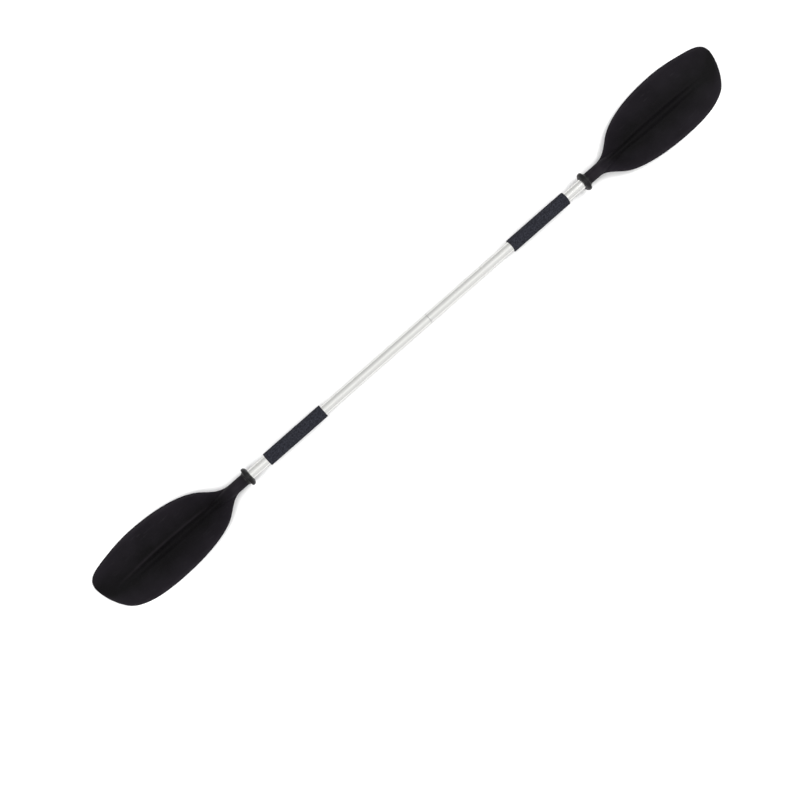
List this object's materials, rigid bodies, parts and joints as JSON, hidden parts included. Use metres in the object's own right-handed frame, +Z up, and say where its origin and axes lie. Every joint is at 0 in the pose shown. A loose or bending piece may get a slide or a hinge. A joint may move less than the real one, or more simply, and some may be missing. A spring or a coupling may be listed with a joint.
{
  "type": "kayak paddle",
  "caption": "Two-piece double-bladed kayak paddle with a round aluminium shaft, moulded asymmetric spoon blades, foam hand grips and rubber drip rings.",
  "frame": {"origin": "on the surface the paddle lies on, under the middle of its box", "axes": "+X along the shaft towards the right blade, +Y towards the blades' long edges, +Z up, away from the surface"},
  "size_m": [2.2, 0.1888, 0.056],
  "materials": {
    "blade_plastic": "satin",
    "shaft_aluminium": "satin",
    "ferrule_aluminium": "satin",
    "grip_foam": "matte",
    "plug_foam": "matte",
    "black_rubber": "satin",
    "grey_rubber": "satin",
    "joint_plastic": "satin",
    "spring_steel": "satin",
    "rivet_aluminium": "satin"
  },
  "bodies": {
    "left_half": {"blade_left": "blade_plastic", "shaft_tube_left": "shaft_aluminium", "grip_left": "grip_foam", "float_plug_left": "plug_foam", "blade_rivet_left_1": "rivet_aluminium", "blade_rivet_left_2": "rivet_aluminium", "ferrule_sleeve": "ferrule_aluminium", "ferrule_end_plug": "joint_plastic", "ferrule_rivet_1": "rivet_aluminium", "ferrule_rivet_2": "rivet_aluminium", "snap_spring": "spring_steel"},
    "seam_collar": {"seam_ring": "grey_rubber"},
    "right_half": {"blade_right": "blade_plastic", "shaft_tube_right": "shaft_aluminium", "grip_right": "grip_foam", "float_plug_right": "plug_foam", "float_plug_inner": "plug_foam", "blade_rivet_right_1": "rivet_aluminium", "blade_rivet_right_2": "rivet_aluminium"},
    "button": {"snap_button": "spring_steel"},
    "ring_left": {"drip_ring_left": "black_rubber"},
    "ring_right": {"drip_ring_right": "black_rubber"}
  },
  "joints": [
    {"name": "feather_turn", "type": "hinge", "parent": "left_half", "child": "seam_collar", "pos_m": [0.0394, -0.00612, 0.02859], "axis": [1, 0, 0], "range_deg": [-60, 60]},
    {"name": "take_down_slide", "type": "slide", "parent": "seam_collar", "child": "right_half", "axis": [1, 0, 0], "range_m": [0, 0.12], "deforming": ["snap_button"]},
    {"name": "snap_button_press", "type": "slide", "parent": "left_half", "child": "button", "axis": [0, 0, 1], "range_m": [0, 0.004], "stiffness_N_per_m": 1500, "springref_m": -0.002, "deforming": ["snap_spring"]},
    {"name": "drip_ring_left_slide", "type": "slide", "parent": "left_half", "child": "ring_left", "axis": [1, 0, 0], "range_m": [0, 0.055]},
    {"name": "drip_ring_right_slide", "type": "slide", "parent": "right_half", "child": "ring_right", "axis": [-1, 0, 0], "range_m": [0, 0.055]}
  ]
}
